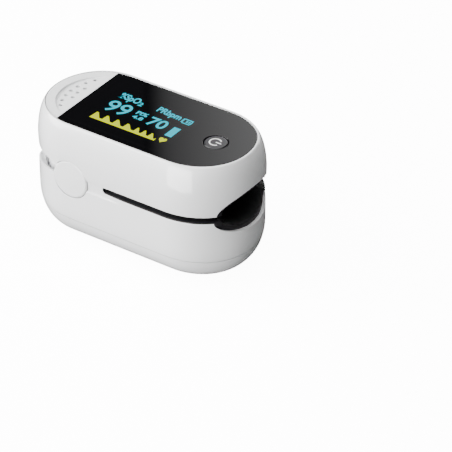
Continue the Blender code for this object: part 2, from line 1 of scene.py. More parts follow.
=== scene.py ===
"""Fingertip pulse oximeter: the looks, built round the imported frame.

Lengths are in millimetres in the helpers and become metres when a mesh is made.
"""

import json
import math

import bmesh
import bpy
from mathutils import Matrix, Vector


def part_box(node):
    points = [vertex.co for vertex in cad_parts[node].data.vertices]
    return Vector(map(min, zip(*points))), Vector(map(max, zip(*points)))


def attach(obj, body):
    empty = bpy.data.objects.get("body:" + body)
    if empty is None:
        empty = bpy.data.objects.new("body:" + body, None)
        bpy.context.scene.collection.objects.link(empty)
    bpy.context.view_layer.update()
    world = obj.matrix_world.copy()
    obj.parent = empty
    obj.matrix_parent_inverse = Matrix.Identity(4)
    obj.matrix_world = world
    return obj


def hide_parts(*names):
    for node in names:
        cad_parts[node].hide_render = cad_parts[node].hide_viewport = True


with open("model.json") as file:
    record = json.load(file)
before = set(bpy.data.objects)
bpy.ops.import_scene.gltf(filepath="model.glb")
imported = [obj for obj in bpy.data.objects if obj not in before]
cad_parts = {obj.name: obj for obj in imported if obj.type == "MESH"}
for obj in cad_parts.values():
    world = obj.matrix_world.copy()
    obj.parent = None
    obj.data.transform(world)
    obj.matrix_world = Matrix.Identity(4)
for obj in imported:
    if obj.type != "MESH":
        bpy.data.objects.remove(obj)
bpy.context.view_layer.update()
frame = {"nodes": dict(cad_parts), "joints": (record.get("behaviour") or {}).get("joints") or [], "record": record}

MM = 0.001

# Driving dimensions of the design, in millimetres, from the frame.
JOINTS = {joint["name"]: joint for joint in frame["joints"]}
HINGE_X = JOINTS["jaw_hinge"]["pos_m"][0] / MM
HINGE_Z = JOINTS["jaw_hinge"]["pos_m"][2] / MM


def node_box(name):
    low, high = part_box(name)
    return low / MM, high / MM


WINDOW_LOW, WINDOW_HIGH = node_box("display_window")
GRILLE_LOW, GRILLE_HIGH = node_box("grille_plate")
BUTTON_LOW, BUTTON_HIGH = node_box("power_button")
CAP_LOW, CAP_HIGH = node_box("hinge_cap_left")
DOOR_FRONT = node_box("battery_door")[1].x
CELL_LOW, CELL_HIGH = node_box("battery_1")
CELL_Y = 0.5 * (CELL_LOW.y + CELL_HIGH.y)
CELL_Z = 0.5 * (CELL_LOW.z + CELL_HIGH.z)
CELL_RADIUS = 5.25
PAD_END = node_box("lower_pad")[0].x

PLATE_HALF_WIDTH = WINDOW_HIGH.y
PLATE_TOP = WINDOW_HIGH.z
PLATE_BOTTOM = WINDOW_LOW.z
NOSE_LENGTH = 13.8
NOSE_START = WINDOW_HIGH.x - NOSE_LENGTH
NOSE_POWER = 2.1
TAIL_LENGTH = 12.9
TAIL_START = GRILLE_LOW.x + TAIL_LENGTH
WINDOW_CUT = 0.5 * (WINDOW_LOW.x + GRILLE_HIGH.x)
BODY_TOP = 33.0
UPPER_EDGE = 19.85
LOWER_EDGE = 18.05
COVER_SEAM = 6.8
COVER_WALL = 1.5
CORNER_RISE = 10.0
CORNER_IN = -4.8
CORNER_OUT = 2.2
CORNER_POWER = 2.2
SLOT_END = -3.7
SLOT_RADIUS = 0.9
STRIP_FLOOR = 16.7
SCOOP = (10.8, 4.25)
ARCH = (10.3, 5.15)
DOOR_HALF = 10.65
BUTTON_X = 0.5 * (BUTTON_LOW.x + BUTTON_HIGH.x)
BUTTON_RADIUS = 2.8
CAP_RADIUS = 0.5 * (CAP_HIGH.x - CAP_LOW.x)
HOLE_RADIUS = 0.58             # sound holes
PLATE_GROWTH = 0.03
FINE_GAP = 0.14                # visible gap between fitted pieces
RIM_GAP = 0.24
CAP_GAP = 0.2                  # groove round the hinge caps
CASE_ROUNDING = 0.16           # edges of the two jaws
COVER_ROUNDING = 0.12
INK_Z = PLATE_TOP + 0.015      # lit graphics, just above the window
INK_DEPTH = 0.02
FAR = 40.0                     # past the end of the body
WIDE = 20.0                    # past both flanks
NOSE_STEPS = 40
TAIL_STEPS = 34
FLANK_STEPS = 34

# Camera and studio.
CAMERA_PLACE = Vector((301.2, -411.3, 351.4)) * MM
CAMERA_AZIMUTH = math.radians(34.17)
CAMERA_ELEVATION = math.radians(34.49)
CAMERA_LENS = 199.1
FLOOR_GLOW = 12.0
FLOOR_BOUNCE = 0.24
WORLD_LEVEL = 0.06
SOFTBOXES = (
    ("key", -93.0, 2.0, 0.7, (0.5, 0.6), 17.0),
    ("side", -148.0, 28.0, 0.9, (0.8, 0.8), 14.5),
    ("top", 60.0, 88.0, 1.0, (0.8, 0.8), 6.0),
    ("rear_fill", 100.0, 8.0, 0.9, (0.8, 0.35), 4.0),
)
CARD_DISTANCE = 0.8
CARD_SIZE = (0.35, 0.4)
CARD_SOFT = 0.008
CARD_LOW = 0.6
CARD_HIGH = 1.6


# ---------------------------------------------------------------- mesh helpers

def mesh_object(name, points, faces):
    work = bmesh.new()
    corners = [work.verts.new(Vector(point) * MM) for point in points]
    for face in faces:
        work.faces.new([corners[index] for index in face])
    bmesh.ops.recalc_face_normals(work, faces=work.faces)
    mesh = bpy.data.meshes.new(name)
    work.to_mesh(mesh)
    work.free()
    made = bpy.data.objects.new(name, mesh)
    bpy.context.scene.collection.objects.link(made)
    return made


def bend(value, power):
    return math.copysign(abs(value) ** (2.0 / power), value)


def outline(side, rear):
    """Plan outline, anticlockwise from above, with evenly spaced points along the straight flanks."""
    half = PLATE_HALF_WIDTH + side
    nose = []
    for step in range(-NOSE_STEPS, NOSE_STEPS + 1):
        angle = 0.5 * math.pi * step / NOSE_STEPS
        x = NOSE_START + (NOSE_LENGTH + side) * bend(math.cos(angle), NOSE_POWER)
        nose.append((x, half * bend(math.sin(angle), NOSE_POWER)))
    tail = []
    for step in range(-TAIL_STEPS, TAIL_STEPS + 1):
        angle = 0.5 * math.pi * step / TAIL_STEPS
        tail.append((TAIL_START - (TAIL_LENGTH + rear) * math.cos(angle), -half * math.sin(angle)))
    span = TAIL_START - NOSE_START
    along = [NOSE_START + span * step / FLANK_STEPS for step in range(1, FLANK_STEPS)]
    return nose + [(x, half) for x in along] + tail + [(x, -half) for x in reversed(along)]


def loft(name, levels, sink=None):
    """Closed solid through outlines at (z, side, rear) levels; sink(x, z) pushes the flanks inward."""
    points = []
    for z, side, rear in levels:
        for x, y in outline(side, rear):
            if sink is not None:
                y -= math.copysign(min(abs(y), sink(x, z)), y)
            points.append((x, y, z))
    count = len(points) // len(levels)
    faces = [list(range(count))[::-1], list(range(len(points) - count, len(points)))]
    for level in range(len(levels) - 1):
        low = level * count
        for step in range(count):
            after = (step + 1) % count
            faces.append([low + step, low + after, low + count + after, low + count + step])
    return mesh_object(name, points, faces)


def slab(name, offset, low, high):
    return loft(name, [(low, offset, offset), (high, offset, offset)])


def extrude(name, profile, start, end, along):
    """Prism of a closed profile: (y, z) along X, (x, z) along Y or (x, y) along Z."""
    def place(first, second, depth):
        if along == "X":
            return depth, first, second
        if along == "Y":
            return first, depth, second
        return first, second, depth
    count = len(profile)
    points = [place(a, b, start) for a, b in profile] + [place(a, b, end) for a, b in profile]
    faces = [list(range(count)), list(range(count, 2 * count))[::-1]]
    for step in range(count):
        after = (step + 1) % count
        faces.append([step, count + step, count + after, after])
    return mesh_object(name, points, faces)


def box(name, low, high):
    profile = [(low[0], low[1]), (high[0], low[1]), (high[0], high[1]), (low[0], high[1])]
    return extrude(name, profile, low[2], high[2], "Z")


def ellipse(first, second, wide, high, sides=96):
    turn = [2.0 * math.pi * (step + 0.5) / sides for step in range(sides)]
    return [(first + wide * math.cos(angle), second + high * math.sin(angle)) for angle in turn]


def rod(name, centre, radius, start, end, along, sides=96):
    return extrude(name, ellipse(*centre, radius, radius, sides), start, end, along)


def turned(name, centre, profile, along="Z", sides=96):
    """Solid of revolution about a line through centre; profile is (radius, height) from pole to pole."""
    points = []
    faces = []
    rings = []
    for radius, height in profile:
        count = sides if radius > 0.0 else 1
        spins = [2.0 * math.pi * (step + 0.5) / sides for step in range(count)]
        rings.append(list(range(len(points), len(points) + len(spins))))
        for angle in spins:
            first = centre[0] + radius * math.cos(angle)
            second = centre[1] + radius * math.sin(angle)
            points.append((first, second, height) if along == "Z" else (first, height, second))
    for low, high in zip(rings, rings[1:]):
        for step in range(sides):
            after = (step + 1) % sides
            if len(low) == 1:
                faces.append([low[0], high[after], high[step]])
            elif len(high) == 1:
                faces.append([low[step], low[after], high[0]])
            else:
                faces.append([low[step], low[after], high[after], high[step]])
    for ring in (rings[0], rings[-1]):
        if len(ring) > 1:
            faces.append(ring)
    return mesh_object(name, points, faces)


def bake_modifiers(piece):
    """Applies a piece's modifiers to its mesh."""
    bpy.context.view_layer.update()
    seen = piece.evaluated_get(bpy.context.evaluated_depsgraph_get())
    mesh = bpy.data.meshes.new_from_object(seen)
    piece.modifiers.clear()
    piece.data = mesh
    return piece


def carve(piece, *tools, operation="DIFFERENCE"):
    """Boolean of a piece with tools, which are used up."""
    for tool in tools:
        change = piece.modifiers.new("carve", "BOOLEAN")
        change.operation = operation
        change.solver = "EXACT"
        change.object = tool
    bake_modifiers(piece)
    for tool in tools:
        bpy.data.objects.remove(tool, do_unlink=True)
    return piece


def soften(piece, width, angle=38.0, segments=3):
    """Rounds the sharp edges and shades the piece smoothly."""
    change = piece.modifiers.new("soften", "BEVEL")
    change.width = width * MM
    change.segments = segments
    change.limit_method = "ANGLE"
    change.angle_limit = math.radians(angle)
    change.use_clamp_overlap = True
    change.miter_outer = "MITER_ARC"
    bake_modifiers(piece)
    return weigh(shade(piece, 35.0))


def shade(piece, angle=30.0):
    piece.data.shade_smooth()
    piece.data.set_sharp_from_angle(angle=math.radians(angle))
    return piece


def weigh(piece):
    """Normals that follow the large faces, so that flat faces beside a rounded edge stay flat."""
    change = piece.modifiers.new("weigh", "WEIGHTED_NORMAL")
    change.mode = "FACE_AREA"
    change.weight = 80
    change.keep_sharp = True
    return bake_modifiers(piece)


def catmull(points, per_span):
    """Smooth curve through points of any dimension."""
    points = [Vector(point) for point in points]
    padded = [2 * points[0] - points[1], *points, 2 * points[-1] - points[-2]]
    curve = []
    for index in range(1, len(padded) - 2):
        a, b, c, d = padded[index - 1:index + 3]
        for step in range(per_span):
            t = step / per_span
            curve.append(0.5 * (2 * b + (c - a) * t + (2 * a - 5 * b + 4 * c - d) * t ** 2
                                + (3 * b - a - 3 * c + d) * t ** 3))
    return curve + [points[-1]]


# ---------------------------------------------------------------- materials

def new_material(name):
    made = bpy.data.materials.new(name)
    made.use_nodes = True
    return made, made.node_tree.nodes, made.node_tree.links, made.node_tree.nodes["Principled BSDF"]


def noise(nodes, links, scale, detail=3.0):
    """Noise in the piece's own coordinates, which are metres."""
    place = nodes.new("ShaderNodeTexCoord")
    made = nodes.new("ShaderNodeTexNoise")
    made.inputs["Scale"].default_value = scale
    made.inputs["Detail"].default_value = detail
    links.new(place.outputs["Object"], made.inputs["Vector"])
    return made


def spread(nodes, links, source, low, high):
    """Maps a 0 to 1 value to a range."""
    made = nodes.new("ShaderNodeMapRange")
    made.inputs["From Min"].default_value = 0.3
    made.inputs["From Max"].default_value = 0.7
    made.inputs["To Min"].default_value = low
    made.inputs["To Max"].default_value = high
    links.new(source, made.inputs["Value"])
    return made.outputs["Result"]


def add_bump(nodes, links, shader, scale, depth, detail=3.0):
    grain = noise(nodes, links, scale, detail)
    bump = nodes.new("ShaderNodeBump")
    bump.inputs["Strength"].default_value = 1.0
    bump.inputs["Distance"].default_value = depth * MM
    links.new(grain.outputs["Fac"], bump.inputs["Height"])
    links.new(bump.outputs["Normal"], shader.inputs["Normal"])


def plastic(name, colour, rough, coat=0.0, grain=3500.0, depth=0.004, mottle=0.015, sheen_through=0.0):
    """Moulded plastic: faint mottling in colour and gloss, and a fine moulded grain."""
    made, nodes, links, shader = new_material(name)
    broad = noise(nodes, links, 90.0, 2.0)
    tone = nodes.new("ShaderNodeMix")
    tone.data_type = "RGBA"
    tone.inputs["A"].default_value = (*[channel * (1.0 - mottle) for channel in colour], 1.0)
    tone.inputs["B"].default_value = (*[min(1.0, channel * (1.0 + mottle)) for channel in colour], 1.0)
    links.new(broad.outputs["Fac"], tone.inputs["Factor"])
    links.new(tone.outputs["Result"], shader.inputs["Base Color"])
    fine = noise(nodes, links, 700.0)
    gloss = spread(nodes, links, fine.outputs["Fac"], rough * 0.9, rough * 1.1)
    links.new(gloss, shader.inputs["Roughness"])
    shader.inputs["IOR"].default_value = 1.5
    shader.inputs["Coat Weight"].default_value = coat
    shader.inputs["Coat Roughness"].default_value = 0.05
    if sheen_through:
        shader.inputs["Subsurface Weight"].default_value = sheen_through
        shader.inputs["Subsurface Radius"].default_value = (1.0, 0.9, 0.8)
        shader.inputs["Subsurface Scale"].default_value = 0.6 * MM
    add_bump(nodes, links, shader, grain, depth)
    return made


def metal(name, colour, rough):
    made, nodes, links, shader = new_material(name)
    shader.inputs["Metallic"].default_value = 1.0
    broad = noise(nodes, links, 400.0)
    tone = nodes.new("ShaderNodeMix")
    tone.data_type = "RGBA"
    tone.inputs["A"].default_value = (*[channel * 0.85 for channel in colour], 1.0)
    tone.inputs["B"].default_value = (*colour, 1.0)
    links.new(broad.outputs["Fac"], tone.inputs["Factor"])
    links.new(tone.outputs["Result"], shader.inputs["Base Color"])
    gloss = spread(nodes, links, broad.outputs["Fac"], rough * 0.7, rough * 1.3)
    links.new(gloss, shader.inputs["Roughness"])
    add_bump(nodes, links, shader, 2500.0, 0.003)
    return made


def glow(name, colour, strength):
    """Lit pixels of the display, with a fine variation in brightness."""
    made, nodes, links, shader = new_material(name)
    shader.inputs["Base Color"].default_value = (*[channel * 0.02 for channel in colour], 1.0)
    shader.inputs["Roughness"].default_value = 0.3
    shader.inputs["Specular IOR Level"].default_value = 0.1
    grain = noise(nodes, links, 5000.0)
    tone = nodes.new("ShaderNodeMix")
    tone.data_type = "RGBA"
    tone.inputs["A"].default_value = (*[channel * 0.88 for channel in colour], 1.0)
    tone.inputs["B"].default_value = (*colour, 1.0)
    links.new(grain.outputs["Fac"], tone.inputs["Factor"])
    links.new(tone.outputs["Result"], shader.inputs["Emission Color"])
    shader.inputs["Emission Strength"].default_value = strength
    return made


LOOK = {
    "white_plastic": plastic("white_abs", (0.78, 0.785, 0.79), 0.32, coat=0.9, sheen_through=0.05),
    "grille_plastic": plastic("grille_abs", (0.8, 0.805, 0.81), 0.36, coat=0.1),
    "frame_plastic": plastic("chassis_abs", (0.6, 0.61, 0.62), 0.5),
    "window_acrylic": plastic("smoked_acrylic", (0.0008, 0.0008, 0.0012), 0.045,
                              grain=300.0, depth=0.0005),
    "button_plastic": plastic("button_abs", (0.018, 0.018, 0.02), 0.3, coat=0.2),
    "black_silicone": plastic("silicone", (0.008, 0.008, 0.009), 0.5, grain=5000.0, depth=0.006),
    "black_foam": plastic("foam", (0.02, 0.02, 0.02), 0.95, grain=6000.0, depth=0.05),
    "display_glass": plastic("display_glass_dark", (0.01, 0.01, 0.02), 0.08,
                             coat=0.8, grain=200.0, depth=0.0005),
    "circuit_board": plastic("solder_mask", (0.012, 0.12, 0.05), 0.35, coat=0.5, mottle=0.1),
    "chip_epoxy": plastic("epoxy", (0.02, 0.02, 0.022), 0.55, mottle=0.1),
    "optical_lens": plastic("lens_clear_red", (0.2, 0.01, 0.01), 0.08,
                            coat=1.0, grain=200.0, depth=0.0005),
    "spring_steel": metal("steel", (0.62, 0.62, 0.64), 0.28),
    "cell_jacket": plastic("jacket", (0.03, 0.05, 0.11), 0.25, coat=0.6, mottle=0.06),
    "flex_polyimide": plastic("polyimide", (0.4, 0.16, 0.02), 0.3, coat=0.3, mottle=0.08),
}
CYAN = glow("pixels_cyan", (0.0, 0.78, 1.0), 1.0)
YELLOW = glow("pixels_yellow", (0.9, 1.0, 0.0), 1.1)
PRINT = plastic("white_print", (0.85, 0.85, 0.85), 0.4)


def dress(piece, slot, body, *nodes):
    """Gives a piece its finish and its body, and the nodes that it stands for."""
    piece.data.materials.clear()
    piece.data.materials.append(LOOK[slot])
    if nodes:
        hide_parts(*nodes)
    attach(piece, body)
    return piece


def dress_frame_nodes():
    """Every CAD node gets the finish of its material slot."""
    for entry in frame["record"]["subparts"]:
        node = frame["nodes"][entry["node"]]
        node.data.materials.clear()
        node.data.materials.append(LOOK[entry["material_slot"]])


# ---------------------------------------------------------------- casings

def corner(z):
    """Outward offset of the lower jaw at height z."""
    if z >= CORNER_RISE:
        return CORNER_OUT
    fall = (1.0 - z / CORNER_RISE) ** CORNER_POWER
    return CORNER_IN + (CORNER_OUT - CORNER_IN) * (1.0 - fall) ** (1.0 / CORNER_POWER)


def upper_levels():
    flank = [(UPPER_EDGE, 2.2), (22.0, 2.4), (25.0, 2.5), (27.0, 2.38), (28.8, 2.15), (30.4, 1.8),
             (31.6, 1.4), (32.4, 1.0), (32.8, 0.75), (BODY_TOP, 0.5)]
    smooth = catmull(flank, 4)
    return [(z, side, side - 0.45 * min(1.0, 2.0 * side)) for z, side in smooth]


def lower_side(z):
    return corner(z) + 0.1 * math.sin(math.pi * min(1.0, max(0.0, z - 6.0) / 13.0))


def ease(value):
    value = min(1.0, max(0.0, value))
    return value * value * (3.0 - 2.0 * value)


def strip_sink(x, z):
    """Shallow step beside the hinge cap that fades away along the slot."""
    fade = ease((x + 11.0) / 2.0) * (1.0 - ease((x - SLOT_END + 1.0) / 8.0))
    depth = 0.45 - 0.08 * max(0.0, z - STRIP_FLOOR)
    return depth * ease((z - STRIP_FLOOR) / 0.3) * fade


def quarter_turn(steps=14):
    return [0.5 * math.pi * step / steps for step in range(steps + 1)]


def notch_above():
    """Side profile of the tail notch in the upper jaw."""
    rounding = [(-26.4 - 4.6 * math.sin(turn), 27.0 - 4.7 * math.cos(turn)) for turn in quarter_turn()]
    return [(-17.7, 17.0), (-17.7, 21.9), (-22.0, 22.1), *rounding, (-36.0, 27.0), (-36.0, 17.0)]


def notch_below():
    """Side profile of the tail notch in the lower jaw."""
    rounding = [(-25.2 - 6.4 * math.sin(turn), 11.2 + 6.4 * math.cos(turn)) for turn in quarter_turn()]
    return [(-18.2, 24.0), (-18.2, 18.9), (-22.0, 18.35), *rounding, (-36.0, 11.2), (-36.0, 24.0)]


def hinge_hole():
    return rod("hinge_hole", (HINGE_X, HINGE_Z), CAP_RADIUS + CAP_GAP, -WIDE, WIDE, "Y")


def make_upper_case():
    case = loft("upper_case", upper_levels())
    hollow = loft("hollow", [(18.0, 1.7, 1.25), (21.0, 1.8, 1.35), (21.0, 0.7, 0.3), (25.0, 0.9, 0.45),
                             (28.8, 0.55, 0.1), (30.2, 0.2, -0.25), (30.2, -1.0, -1.2), (31.2, -1.0, -1.2),
                             (31.2, RIM_GAP, RIM_GAP), (34.0, RIM_GAP, RIM_GAP)])
    arch = extrude("arch", ellipse(0.0, UPPER_EDGE, *ARCH), 15.0, FAR, "X")
    notch = extrude("notch", notch_above(), -WIDE, WIDE, "Y")
    carve(case, hollow, arch, notch, hinge_hole())
    carve(case, rear_band("skirt", 0.75, 0.15, 21.9, 27.6), operation="UNION")
    soften(case, CASE_ROUNDING)
    return dress(case, "white_plastic", "upper", "upper_shell")


def make_lower_case():
    bottom = COVER_SEAM + 0.5 * FINE_GAP
    top = UPPER_EDGE - FINE_GAP
    heights = [bottom, 7.5, 8.5, 9.5, 11.0, 12.5, 14.0, 15.5, 16.4]
    heights += [STRIP_FLOOR + 0.35 * step / 4 for step in range(5)] + [17.6, 18.4, top]
    case = loft("lower_case", [(z, lower_side(z), lower_side(z)) for z in heights], strip_sink)
    hollow = loft("hollow", [(bottom - 2.0, 0.35, 0.35), (9.0, 0.6, 0.6), (16.9, 0.65, 0.65),
                             (16.9, 1.7, 1.7), (top + 2.0, 1.7, 1.7)])
    slot_start = SLOT_END + SLOT_RADIUS
    slot = box("slot", (slot_start, -WIDE, LOWER_EDGE), (FAR, WIDE, 30.0))
    slot_end = rod("slot_end", (slot_start, LOWER_EDGE + SLOT_RADIUS), SLOT_RADIUS, -WIDE, WIDE, "Y", 48)
    scoop = extrude("scoop", ellipse(0.0, LOWER_EDGE, *SCOOP), 15.0, FAR, "X")
    notch = extrude("notch", notch_below(), -WIDE, WIDE, "Y")
    carve(case, hollow, slot, slot_end, scoop, notch, hinge_hole())
    carve(case, rear_band("ledge", 1.9, -0.05, 14.0, 15.2, -18.5), operation="UNION")
    soften(case, CASE_ROUNDING)
    return dress(case, "white_plastic", "lower", "lower_shell")


def rear_band(name, outer, inner, low, high, front=-17.0):
    """Curved wall inside the tail between two outline offsets."""
    band_piece = slab(name, outer, low, high)
    carve(band_piece, slab("inside", inner, low - 1.0, high + 1.0))
    return carve(band_piece, box("front", (front, -WIDE, 0.0), (FAR, WIDE, 40.0)))


def make_rear_wall():
    wall = rear_band("rear_wall", -0.1, -1.1, 13.2, 21.3)
    soften(wall, 0.1)
    return dress(wall, "white_plastic", "lower", "rear_baffle")


def make_pan(name):
    top = COVER_SEAM - 0.5 * FINE_GAP
    heights = [0.0, 0.05, 0.15, 0.3, 0.5, 0.8, 1.2, 1.7, 2.3, 3.0, 3.8, 4.7, 5.7, top]
    pan = loft(name, [(z, corner(z), corner(z)) for z in heights])
    inside = [(z, corner(z) - COVER_WALL) for z in (1.4, 2.1, 3.4, 5.0, top + 1.0)]
    hollow = loft("hollow", [(z, offset, offset) for z, offset in inside])
    return pan, hollow


def make_bottom_cover():
    cover, hollow = make_pan("base_cover")
    half = DOOR_HALF + FINE_GAP
    doorway = box("doorway", (-FAR, -half, -2.0), (DOOR_FRONT + FINE_GAP, half, 9.0))
    carve(cover, hollow, doorway)
    soften(cover, COVER_ROUNDING)
    return dress(cover, "white_plastic", "lower", "bottom_cover")


def make_battery_door():
    door, hollow = make_pan("cell_door")
    carve(door, hollow)
    span = box("span", (-FAR, -DOOR_HALF, -2.0), (DOOR_FRONT, DOOR_HALF, 9.0))
    carve(door, span, operation="INTERSECT")
    for side in (1.0, -1.0):
        centre = (side * CELL_Y, CELL_Z)
        carve(door, rod("cell_clearance", centre, CELL_RADIUS + 0.12, -22.0, DOOR_FRONT + 1.0, "X"))
    for row in range(5):
        x = 12.0 + 1.5 * row
        groove = rod("groove", (x, -0.28), 0.5, -6.0 + 0.5 * row, 6.0 - 0.5 * row, "Y", 24)
        carve(door, groove)
    soften(door, COVER_ROUNDING)
    return dress(door, "white_plastic", "battery_door", "battery_door")


def make_hinge_caps():
    dome = [(0.0, 13.85), (CAP_RADIUS - 0.3, 13.85), (CAP_RADIUS, 14.1)]
    dome += [(CAP_RADIUS - 0.5 + 0.5 * math.cos(angle), 14.98 + 0.4 * math.sin(angle))
             for angle in [math.radians(10.0 * step) for step in range(10)]]
    dome += [(CAP_RADIUS * (0.88 - 0.11 * step), 15.38 + 0.12 * ease(0.15 * step))
             for step in range(1, 8)]
    dome += [(0.0, 15.5)]
    for name, side in (("left", 1.0), ("right", -1.0)):
        cap = turned(f"hinge_button_{name}", (HINGE_X, HINGE_Z), [(r, side * h) for r, h in dome], "Y")
        shade(cap, 45.0)
        dress(cap, "white_plastic", "lower", f"hinge_cap_{name}")


# ---------------------------------------------------------------- top plates and button

def make_window():
    window = slab("window_pane", PLATE_GROWTH, PLATE_BOTTOM, PLATE_TOP)
    front = box("front", (WINDOW_CUT + 0.02, -WIDE, 20.0), (FAR, WIDE, 40.0))
    carve(window, front, operation="INTERSECT")
    carve(window, rod("hole", (BUTTON_X, 0.0), BUTTON_RADIUS + 0.3, 25.0, 40.0, "Z"))
    soften(window, 0.07)
    return dress(window, "window_acrylic", "upper", "display_window")


def grille_points():
    points = [(-23.8 + 0.0447 * y * y, y) for y in (-7.0, -4.8, -2.45, 0.0, 2.45, 4.8, 7.0)]
    return points + [(-21.7 + 0.06 * y * y, y) for y in (-2.45, 0.0, 2.45)]


def make_grille():
    plate = slab("grille_panel", PLATE_GROWTH, PLATE_BOTTOM, PLATE_TOP)
    rear = box("rear", (-FAR, -WIDE, 20.0), (WINDOW_CUT - 0.02, WIDE, 40.0))
    carve(plate, rear, operation="INTERSECT")
    dish = slab("dish", -2.3, 31.9, 35.0)
    floor = PLATE_TOP - 0.62
    ramp = [(-19.4, PLATE_TOP), (-22.0, PLATE_TOP - 0.22), (-27.0, floor), (-30.0, floor), (-30.0, 36.0),
            (-19.4, 36.0)]
    carve(dish, extrude("ramp", ramp, -12.0, 12.0, "Y"), operation="INTERSECT")
    holes = [rod("hole", point, HOLE_RADIUS, 25.0, 40.0, "Z", 28) for point in grille_points()]
    carve(plate, dish, *holes)
    soften(plate, 0.06)
    return dress(plate, "grille_plastic", "upper", "grille_plate")


def make_button():
    top = BUTTON_HIGH.z
    profile = [(0.0, 30.45), (0.9, 30.45), (0.9, 30.7), (3.5, 30.7), (3.5, 31.2), (BUTTON_RADIUS, 31.2)]
    profile += [(BUTTON_RADIUS - 0.2 + 0.2 * math.cos(angle), top - 0.25 + 0.2 * math.sin(angle))
                for angle in [math.radians(15.0 * step) for step in range(7)]]
    profile += [(BUTTON_RADIUS * (0.85 - 0.12 * step), top - 0.05) for step in range(7)]
    profile += [(0.0, top - 0.05)]
    cap = turned("button_cap", (BUTTON_X, 0.0), profile)
    shade(cap, 45.0)
    return dress(cap, "button_plastic", "power_button", "power_button")


# ---------------------------------------------------------------- pads

def make_cushion(name, size, level, up, body, node, lip):
    outer = (size[0] - 0.12, size[1] - 0.12)
    inner = (outer[0] - 1.3, outer[1] - 1.3)
    start, end = level - up * lip[1], level + up * 0.85
    levels = [(z, lip[0], lip[0]) for z in sorted((start, end))]
    pad = loft(name, levels, lambda x, z: strip_sink(x, LOWER_EDGE))
    start, end = level + up * 0.1, level + up * (outer[1] + 1.0)
    trough = slab("trough", 1.5, min(start, end), max(start, end))
    outside = extrude("outside", ellipse(0.0, level, *outer), -12.0, 45.0, "X")
    carve(trough, outside, operation="INTERSECT")
    carve(pad, trough, operation="UNION")
    carve(pad, box("span", (PAD_END, -WIDE, 0.0), (FAR, WIDE, 40.0)), operation="INTERSECT")
    channel = extrude("channel", ellipse(0.0, level, *inner), PAD_END + 1.2, 45.0, "X")
    start, end = level, level + up * 7.0
    eye = rod("eye", (6.0, 0.0), 2.1, min(start, end), max(start, end), "Z")
    carve(pad, channel, eye, hinge_hole())
    for side in (1.0, -1.0):
        ends = sorted((side * 14.2, side * WIDE))
        carve(pad, box("lip_end", (-FAR, ends[0], 0.0), (SLOT_END + 0.5, ends[1], 40.0)))
    soften(pad, lip[2])
    return dress(pad, "black_silicone", body, node)


# ---------------------------------------------------------------- display graphics

def flat_piece(name, shapes, z, surface, body):
    """Thin flat solids from closed (x, y) outlines, joined in one piece."""
    points = []
    faces = []
    for shape in shapes:
        start = len(points)
        count = len(shape)
        points += [(x, y, z) for x, y in shape] + [(x, y, z + INK_DEPTH) for x, y in shape]
        faces.append([start + step for step in range(count)][::-1])
        faces.append([start + count + step for step in range(count)])
        for step in range(count):
            after = (step + 1) % count
            faces.append([start + step, start + after, start + count + after, start + count + step])
    piece = mesh_object(name, points, faces)
    piece.data.materials.append(surface)
    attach(piece, body)
    return piece


def band(path, width):
    """Outline of a stroke of a given width along an open path."""
    path = [Vector(point) for point in path]
    left = []
    right = []
    for index, point in enumerate(path):
        ahead = (path[min(index + 1, len(path) - 1)] - path[max(index - 1, 0)]).normalized()
        side = Vector((-ahead.y, ahead.x)) * 0.5 * width
        left.append(tuple(point + side))
        right.append(tuple(point - side))
    return left + right[::-1]


def arc(centre, radius_x, radius_y, start, end, steps=28):
    angles = [math.radians(start + (end - start) * step / steps) for step in range(steps + 1)]
    return [(centre[0] + radius_x * math.cos(a), centre[1] + radius_y * math.sin(a)) for a in angles]


def lettering(name, words, low, high, weight, slope=0.0):
    """Flat lettering that fills the box from low to high, on a line that may slope."""
    curve = bpy.data.curves.new(name, "FONT")
    curve.body = words
    curve.size = 1.0
    curve.offset = weight
    curve.extrude = 0.01
    curve.resolution_u = 6
    words_object = bpy.data.objects.new(name, curve)
    bpy.context.scene.collection.objects.link(words_object)
    bpy.context.view_layer.update()
    seen = words_object.evaluated_get(bpy.context.evaluated_depsgraph_get())
    mesh = bpy.data.meshes.new_from_object(seen)
    bpy.data.objects.remove(words_object, do_unlink=True)
    piece = bpy.data.objects.new(name, mesh)
    bpy.context.scene.collection.objects.link(piece)
    start = [min(vertex.co[axis] for vertex in mesh.vertices) for axis in range(2)]
    end = [max(vertex.co[axis] for vertex in mesh.vertices) for axis in range(2)]
    for vertex in mesh.vertices:
        share = [(vertex.co[axis] - start[axis]) / (end[axis] - start[axis]) for axis in range(2)]
        x = low[0] + (high[0] - low[0]) * share[0]
        y = low[1] + (high[1] - low[1]) * share[1] + slope * (x - low[0])
        vertex.co = Vector((x, y, INK_Z + 0.01 + vertex.co.z)) * MM
    mesh.materials.clear()
    mesh.materials.append(CYAN)
    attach(piece, "upper")
    return piece


def make_waveform():
    """Filled pulse wave: steep fronts, slanting backs, and shorter beats toward the end."""
    base = -7.7
    x = -12.5
    wave = [(x, base)]
    for beat in range(7):
        pitch = 3.1 if beat < 4 else 2.1
        high = 2.9 - 0.08 * beat
        wave += [(x + 0.05, base + 0.85), (x + 0.25, base + high),
                 (x + 0.25 + 0.16 * pitch, base + high), (x + 0.76 * pitch, base + 0.85)]
        x += pitch
    wave += [(6.0, base + 0.55), (6.45, base + 1.1), (6.5, base)]
    flat_piece("pulse_wave", [wave], INK_Z, YELLOW, "upper")


